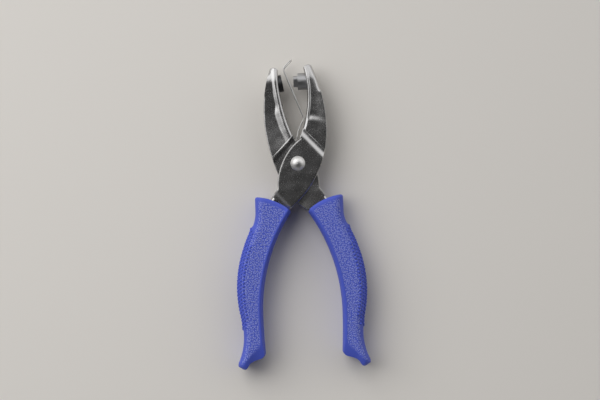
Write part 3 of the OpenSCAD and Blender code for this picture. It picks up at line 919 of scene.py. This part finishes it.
def inner_edge(y):
    if y > RIM_C.y:
        return RIM_C.x - math.sqrt(INNER_R**2 - (y - RIM_C.y) ** 2)
    return RIM_C.x - INNER_R + (y - RIM_C.y) ** 2 / HEEL_BOW


def soft_max(a, b, soft):
    """The larger of two values, with a soft run from one to the other."""
    return max(a, b) + max(soft - abs(a - b), 0) ** 2 / (4 * soft)


def outer_edge(y):
    waist_in = Vector((SWELL_C.x + WAIST_X, SWELL_C.y - WAIST_Y))
    hollow_r = (SWELL_R**2 - waist_in.length_squared) / (2 * (waist_in.x - SWELL_R))
    swell_end = SWELL_C + (Vector((-WAIST_X - hollow_r, WAIST_Y)) - SWELL_C).normalized() * SWELL_R
    if y > swell_end.y:
        return -soft_max(TOP_X, math.sqrt(SWELL_R**2 - (y - SWELL_C.y) ** 2) - SWELL_C.x, SHOULDER)
    bend_r = hollow_r if y > WAIST_Y else FLARE_R
    return math.sqrt(bend_r**2 - (y - WAIST_Y) ** 2) - bend_r - WAIST_X


# Dotted pad on the outer side: heights of its ends, how proud it stands there
PAD_TOP, PAD_FOOT = -30.8, -85.0
PAD_STEP = 0.5
PAD_FADE = 5.0
PAD_SINK = 0.3


def pad_rise(y):
    """How far the pad stands proud of the sleeve's outer side at a height."""
    if y > PAD_TOP:
        return 0.0
    step = PAD_STEP * (1 - smooth((PAD_TOP - y) / PAD_FADE)) * smooth((PAD_TOP - y) / 1.2)
    sink = PAD_SINK * smooth((PAD_TOP - PAD_FADE - y) / 9) * smooth((y - PAD_FOOT) / 5)
    return step - sink


def sleeve_line(share):
    """Inner and outer end of a sleeve's section, at a share of its length."""
    inner_y = lerp(MOUTH_Y, HEEL_Y, share)
    outer_y = lerp(CORNER_Y, FOOT_Y, share)
    start = Vector((inner_edge(inner_y), inner_y))
    end = Vector((outer_edge(outer_y) - pad_rise(outer_y), outer_y))
    return start, end


def sleeve_spot(share, along):
    """Point of a sleeve's section at a distance from its inner end, on the bow of mouth or foot."""
    start, end = sleeve_line(share)
    way = (end - start).normalized()
    part = along / (end - start).length
    bow = 4 * part * (1 - part) * MOUTH_BOW * max(1 - share / MOUTH_SHARE, 0) ** 2
    low = FOOT_HOLLOW * smooth(1 - abs(part - HOLLOW_AT) / HOLLOW_HALF)
    low -= TOE_DROP * smooth(1 - abs(part - TOE_AT) / TOE_HALF)
    bow += low * max(1 - (1 - share) / FOOT_SHARE, 0) ** 2
    return start + way * along + Vector((way.y, -way.x)) * bow


# Slanted facets over the foot: their lengths and drops at the inner and the outer side
FACET_INNER, FACET_OUTER = 12.0, 2.5
FACET_DROP_INNER, FACET_DROP_OUTER = 2.0, 1.8


def sleeve_section(share, drawn_in, toe_in, looks):
    """Points of the left sleeve's section, with the share of grain at each."""
    start, end = sleeve_line(share)
    width = (end - start).length - 2 * drawn_in - toe_in
    ridge = looks.ridge_width / MM
    drop = looks.panel_drop / MM
    top = HALF_T - drawn_in
    upper = []
    for k in range(9):
        turn = math.radians(90 * k / 8)
        upper.append((ridge * (1 - math.cos(turn)), top * math.sin(turn), 0.0))
    upper.append((ridge + 0.3, top - 0.03, 0.0))
    upper.append((ridge + 0.7, top - drop, 1.0))
    flat_to = width - OUTER_ROUND
    for k in range(1, 8):
        upper.append((lerp(ridge + 0.7, flat_to, k / 8), top - drop, 1.0))
    for k in range(15):
        turn = math.radians(90 * (1 - k / 14))
        upper.append((flat_to + OUTER_ROUND * math.cos(turn), (top - drop) * math.sin(turn),
                      1.0 if k < 6 else 0.0))
    points = []
    length_in, length_out = MOUTH_Y - HEEL_Y, CORNER_Y - FOOT_Y
    for x, z, grain in upper:
        across = x / width
        left = (1 - share) * lerp(length_in, length_out, across)
        facet = lerp(FACET_INNER, FACET_OUTER, across)
        fall = lerp(FACET_DROP_INNER, FACET_DROP_OUTER, across)
        if left < facet:
            z = min(z, HALF_T - fall * (1 - left / facet) ** 1.5)
            grain *= smooth(2 * left / facet - 1)
        if share < 0.018:
            grain = 0.0
        spot = sleeve_spot(share, drawn_in + x)
        points.append((spot.x, spot.y, z, grain))
    lower = [(x, y, -z, grain) for x, y, z, grain in points[-2:0:-1]]
    return points + lower


# Pocket for the handle: its inner and outer wall along the section, and half its height
POCKET_IN, POCKET_OUT, POCKET_HALF = 0.5, 13.05, 5.62


def pocket_ring(sections, depth, grow):
    """Ring inside the mouth, round the handle that goes in there."""
    start, end = sleeve_line(0.0)
    way = (end - start).normalized()
    down = Vector((-way.y, way.x))
    low, high = POCKET_IN - grow * 0.3, POCKET_OUT + grow
    half = POCKET_HALF + grow
    ring = []
    for x, y, z, grain in sections:
        flat = Vector((x, y)) - start
        along = min(max(flat.dot(way), low), high)
        lift = min(max(z, -half), half)
        spot = sleeve_spot(0.0, along) + down * depth
        ring.append((spot.x, spot.y, lift, 0.0))
    return ring


class HEARTPUNCH_OT_grips(bpy.types.Operator):
    """Mould the two soft sleeves with their grained panels, rims and foot facets"""

    bl_idname = "heartpunch.grips"
    bl_label = "Soft grips"

    def execute(self, context):
        looks = context.scene.punch_grips
        material = grained_soft_vinyl(looks)
        # Share of the length and how far the section is drawn in there, round the mouth's rim
        rim = [(0.0, 1.3), (0.0006, 0.92), (0.0025, 0.61), (0.006, 0.28), (0.011, 0.06), (0.016, 0.0)]
        rings = [sleeve_section(share, drawn_in, 0.0, looks) for share, drawn_in in rim]
        rings += [sleeve_section(0.016 + 0.9 * k / 110, 0.0, 0.0, looks) for k in range(1, 111)]
        length = CORNER_Y - FOOT_Y
        for left in [7.1 - 0.3 * k for k in range(14)] + [2.8 * (1 - k / 15) ** 1.4 for k in range(16)]:
            drawn_in = FOOT_ROUND * max(1 - left / FOOT_RUN, 0) ** 2.5
            toe_in = TOE_ROUND * max(1 - left / TOE_RUN, 0) ** 1.8
            rings.append(sleeve_section(1 - left / length, drawn_in, toe_in, looks))
        pocket = ((3.0, 0.0), (0.6, 0.1), (0.25, 0.45))
        inside = [pocket_ring(rings[0], depth, grow) for depth, grow in pocket]
        rings = inside + rings
        for name, node, body_name, side in (
            ("left_sleeve", "left_grip", "punch_side", 1),
            ("right_sleeve", "right_grip", "die_side", -1),
        ):
            points = [[place(side * x, y, z) for x, y, z, grain in ring] for ring in rings]
            mesh = rings_mesh(name, points)
            mask = mesh.attributes.new("grain", "FLOAT", "POINT")
            mask.data.foreach_set("value", [p[3] for ring in rings for p in ring])
            crease(mesh, math.radians(38))
            sleeve = new_piece(name, mesh, material)
            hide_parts(node)
            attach(sleeve, body_name)
        return {"FINISHED"}


# Rows of dots: height over the middle plane, and where each row starts and ends along the pad
DOT_ROWS = (
    (-7.3, -39.8, -80.5),
    (-5.9, -33.6, -83.5),
    (-3.6, -32.6, -84.2),
    (-1.2, -32.6, -84.6),
    (1.2, -32.6, -84.6),
    (3.6, -32.6, -84.2),
    (5.9, -33.6, -83.5),
    (7.3, -39.8, -80.5),
)


# Half the side of the guide's small faces, one under each dot, in millimetres and in radians
GUIDE = 0.02


def dot_tree(material):
    """Geometry nodes that set a dome on every point of a guide, along its normal."""
    tree = bpy.data.node_groups.new("grip_dots", "GeometryNodeTree")
    sockets = tree.interface
    sockets.new_socket("Geometry", in_out="INPUT", socket_type="NodeSocketGeometry")
    across = sockets.new_socket("Dot diameter", in_out="INPUT", socket_type="NodeSocketFloat")
    height = sockets.new_socket("Dot height", in_out="INPUT", socket_type="NodeSocketFloat")
    sockets.new_socket("Geometry", in_out="OUTPUT", socket_type="NodeSocketGeometry")
    start = add(tree, "NodeGroupInput")
    half = add(tree, "ShaderNodeMath", {0: start.outputs["Dot diameter"], 1: 0.5}, operation="MULTIPLY")
    shape = add(
        tree,
        "ShaderNodeCombineXYZ",
        {"X": half.outputs[0], "Y": half.outputs[0], "Z": start.outputs["Dot height"]},
    )
    ball = add(tree, "GeometryNodeMeshUVSphere", {"Segments": 10, "Rings": 6, "Radius": 1.0})
    dome = add(tree, "GeometryNodeTransform", {"Geometry": ball.outputs["Mesh"], "Scale": shape.outputs[0]})
    round_dome = add(tree, "GeometryNodeSetShadeSmooth", {"Geometry": dome.outputs[0]})
    turn = add(
        tree,
        "FunctionNodeAlignRotationToVector",
        {"Vector": add(tree, "GeometryNodeInputNormal").outputs[0]},
        axis="Z",
    )
    spots = add(
        tree,
        "GeometryNodeMeshToPoints",
        {"Mesh": start.outputs["Geometry"]},
        mode="FACES",
    )
    dots = add(
        tree,
        "GeometryNodeInstanceOnPoints",
        {
            "Points": spots.outputs[0],
            "Instance": round_dome.outputs[0],
            "Rotation": turn.outputs[0],
        },
    )
    real = add(tree, "GeometryNodeRealizeInstances", {"Geometry": dots.outputs[0]})
    clad = add(tree, "GeometryNodeSetMaterial", {"Geometry": real.outputs[0], "Material": material})
    add(tree, "NodeGroupOutput", {"Geometry": clad.outputs[0]})
    return tree, across.identifier, height.identifier


class HEARTPUNCH_OT_dots(bpy.types.Operator):
    """Set the raised dots on the outer pads of the grips"""

    bl_idname = "heartpunch.dots"
    bl_label = "Grip dots"

    def execute(self, context):
        looks = context.scene.punch_grips
        material = bpy.data.materials["grained_soft_vinyl"]
        tree, across_id, height_id = dot_tree(material)
        drop = looks.panel_drop / MM
        pitch = looks.dot_pitch / MM
        for name, body, side in (("left_dots", "punch_side", 1), ("right_dots", "die_side", -1)):
            work = bmesh.new()
            for r, (z, top, foot) in enumerate(DOT_ROWS):
                turn = math.asin(z / (HALF_T - drop))
                count = math.ceil((PAD_TOP - PAD_FOOT) / pitch)
                steps = [PAD_TOP - pitch * (k + 0.5 * (r % 2)) for k in range(count)]
                for y in [y for y in steps if foot < y < top]:
                    corners = []
                    for up, over in ((GUIDE, -GUIDE), (-GUIDE, -GUIDE), (-GUIDE, GUIDE), (GUIDE, GUIDE)):
                        start, end = sleeve_line((CORNER_Y - y + up) / (CORNER_Y - FOOT_Y))
                        way = (end - start).normalized()
                        inset = OUTER_ROUND * (1 - math.cos(turn + over))
                        spot = start + way * ((end - start).length - inset)
                        rise = (HALF_T - drop) * math.sin(turn + over)
                        corners.append(work.verts.new(place(side * spot.x, spot.y, rise)))
                    work.faces.new(corners if side == 1 else corners[::-1])
            guide_mesh = bpy.data.meshes.new(name + "_guide")
            work.to_mesh(guide_mesh)
            work.free()
            guide = bpy.data.objects.new(name + "_guide", guide_mesh)
            context.scene.collection.objects.link(guide)
            modifier = guide.modifiers.new("dots", "NODES")
            modifier.node_group = tree
            modifier[across_id] = looks.dot_diameter
            modifier[height_id] = looks.dot_height
            context.view_layer.update()
            done = guide.evaluated_get(context.evaluated_depsgraph_get())
            mesh = bpy.data.meshes.new_from_object(done)
            mesh.name = name
            bpy.data.objects.remove(guide)
            if not mesh.polygons:
                raise RuntimeError("the grip dots came out empty")
            dots = new_piece(name, mesh, material)
            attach(dots, body)
        return {"FINISHED"}


# Stage: half the floor's side and its depth under the tool, the lamps, and the camera from the rivet
FLOOR_HALF, FLOOR_DROP = 3.0, 0.2 * MM
LAMP_SIZE = 0.9
LAMP_PLACE = (-0.48, 0.40, 0.60)
CAMERA_X, CAMERA_Y = 0.48 * MM, -18.72 * MM
SENSOR = 36.0
# Level of the soft light at each share of the way from the horizon to overhead
SKY = ((0.0, 0.7), (0.1, 0.8), (0.4, 1.0), (0.65, 0.9), (0.8, 0.45), (0.9, 0.1), (1.0, 0.045))
OVERHEAD = (0.12, -0.25, 1.0)


class HEARTPUNCH_OT_stage(bpy.types.Operator):
    """Lay out the floor, the soft light and the camera"""

    bl_idname = "heartpunch.stage"
    bl_label = "Floor, light and camera"

    def execute(self, context):
        looks = context.scene.punch_stage
        scene = context.scene
        scene.view_settings.view_transform = "Standard"

        floor_paint, tree = new_material("matt_pale_floor")
        place_on = add(tree, "ShaderNodeTexCoord").outputs["Object"]
        mottle = noise(tree, place_on, 40 * MM, 3.0)
        rough = add(
            tree,
            "ShaderNodeMapRange",
            {"Value": mottle, "To Min": 0.75, "To Max": 0.9},
        )
        shader = add(
            tree,
            "ShaderNodeBsdfPrincipled",
            {
                "Base Color": linear(looks.floor_colour),
                "Roughness": rough.outputs["Result"],
                "Specular IOR Level": 0.2,
            },
        )
        close_material(tree, shader)
        mesh = bpy.data.meshes.new("floor")
        signs = ((-1, -1), (1, -1), (1, 1), (-1, 1))
        corners = [(x * FLOOR_HALF, y * FLOOR_HALF, -FLOOR_DROP) for x, y in signs]
        mesh.from_pydata(corners, [], [(0, 1, 2, 3)])
        floor = new_piece("floor", mesh, floor_paint)

        world = bpy.data.worlds.new("soft_studio")
        scene.world = world
        world.use_nodes = True
        tree = world.node_tree
        tree.nodes.clear()
        way = add(tree, "ShaderNodeTexCoord").outputs["Generated"]
        turn = add(tree, "ShaderNodeSeparateXYZ", {0: way})
        lean = add(tree, "ShaderNodeVectorMath", {0: way, 1: OVERHEAD}, operation="DOT_PRODUCT")
        ramp = add(tree, "ShaderNodeValToRGB", {"Fac": lean.outputs["Value"]})
        while len(ramp.color_ramp.elements) < len(SKY):
            ramp.color_ramp.elements.new(1.0)
        for element, (spot, level) in zip(ramp.color_ramp.elements, SKY):
            element.position = spot
            element.color = (level, level, level * 1.01, 1.0)
        side = add(
            tree,
            "ShaderNodeMapRange",
            {"Value": turn.outputs["Y"], "From Min": -0.45, "From Max": 0.4, "To Min": 0.25, "To Max": 1.1},
        )
        sky = {"Color": ramp.outputs["Color"], "Strength": side.outputs[0]}
        glow = add(tree, "ShaderNodeBackground", sky)
        add(tree, "ShaderNodeOutputWorld", {"Surface": glow.outputs[0]})

        # The plating mirrors only the weaker lamp, so that it doesn't burn out to white.
        for name, power, mirrored in (("key", looks.key_power, True), ("fill", looks.fill_power, False)):
            lamp = bpy.data.lights.new(name, "AREA")
            lamp.energy = power
            lamp.size = LAMP_SIZE
            light = bpy.data.objects.new(name, lamp)
            scene.collection.objects.link(light)
            light.location = LAMP_PLACE
            light.rotation_euler = (-light.location).to_track_quat("-Z", "Y").to_euler()
            light.visible_glossy = mirrored

        lens = bpy.data.cameras.new("camera")
        lens.sensor_width = SENSOR
        lens.lens = SENSOR * looks.camera_height / looks.view_width
        camera = bpy.data.objects.new("camera", lens)
        scene.collection.objects.link(camera)
        camera.location = RIVET + Vector((CAMERA_X, CAMERA_Y, looks.camera_height))
        camera.rotation_euler = (0.0, 0.0, looks.camera_roll)
        scene.camera = camera
        return {"FINISHED"}


class HEARTPUNCH_PT_panel(bpy.types.Panel):
    """Lists the steps that dress the punch"""

    bl_label = "Heart punch"
    bl_idname = "HEARTPUNCH_PT_panel"
    bl_space_type = "VIEW_3D"
    bl_region_type = "UI"
    bl_category = "Heart punch"

    def draw(self, context):
        for step in STEPS:
            self.layout.operator(step.bl_idname, text=step.bl_label)


STEPS = (
    HEARTPUNCH_OT_levers,
    HEARTPUNCH_OT_rivet,
    HEARTPUNCH_OT_cutters,
    HEARTPUNCH_OT_wires,
    HEARTPUNCH_OT_grips,
    HEARTPUNCH_OT_dots,
    HEARTPUNCH_OT_stage,
)
LOOKS = (SteelLooks, GripLooks, StageLooks)


def register():
    for kind in LOOKS + STEPS + (HEARTPUNCH_PT_panel,):
        bpy.utils.register_class(kind)
    bpy.types.Scene.punch_steel = bpy.props.PointerProperty(type=SteelLooks)
    bpy.types.Scene.punch_grips = bpy.props.PointerProperty(type=GripLooks)
    bpy.types.Scene.punch_stage = bpy.props.PointerProperty(type=StageLooks)


def unregister():
    del bpy.types.Scene.punch_stage
    del bpy.types.Scene.punch_grips
    del bpy.types.Scene.punch_steel
    for kind in reversed(LOOKS + STEPS + (HEARTPUNCH_PT_panel,)):
        bpy.utils.unregister_class(kind)


def main():
    register()
    bpy.ops.heartpunch.levers()
    bpy.ops.heartpunch.rivet()
    bpy.ops.heartpunch.cutters()
    bpy.ops.heartpunch.wires()
    bpy.ops.heartpunch.grips()
    bpy.ops.heartpunch.dots()
    bpy.ops.heartpunch.stage()


if __name__ == "__main__":
    main()
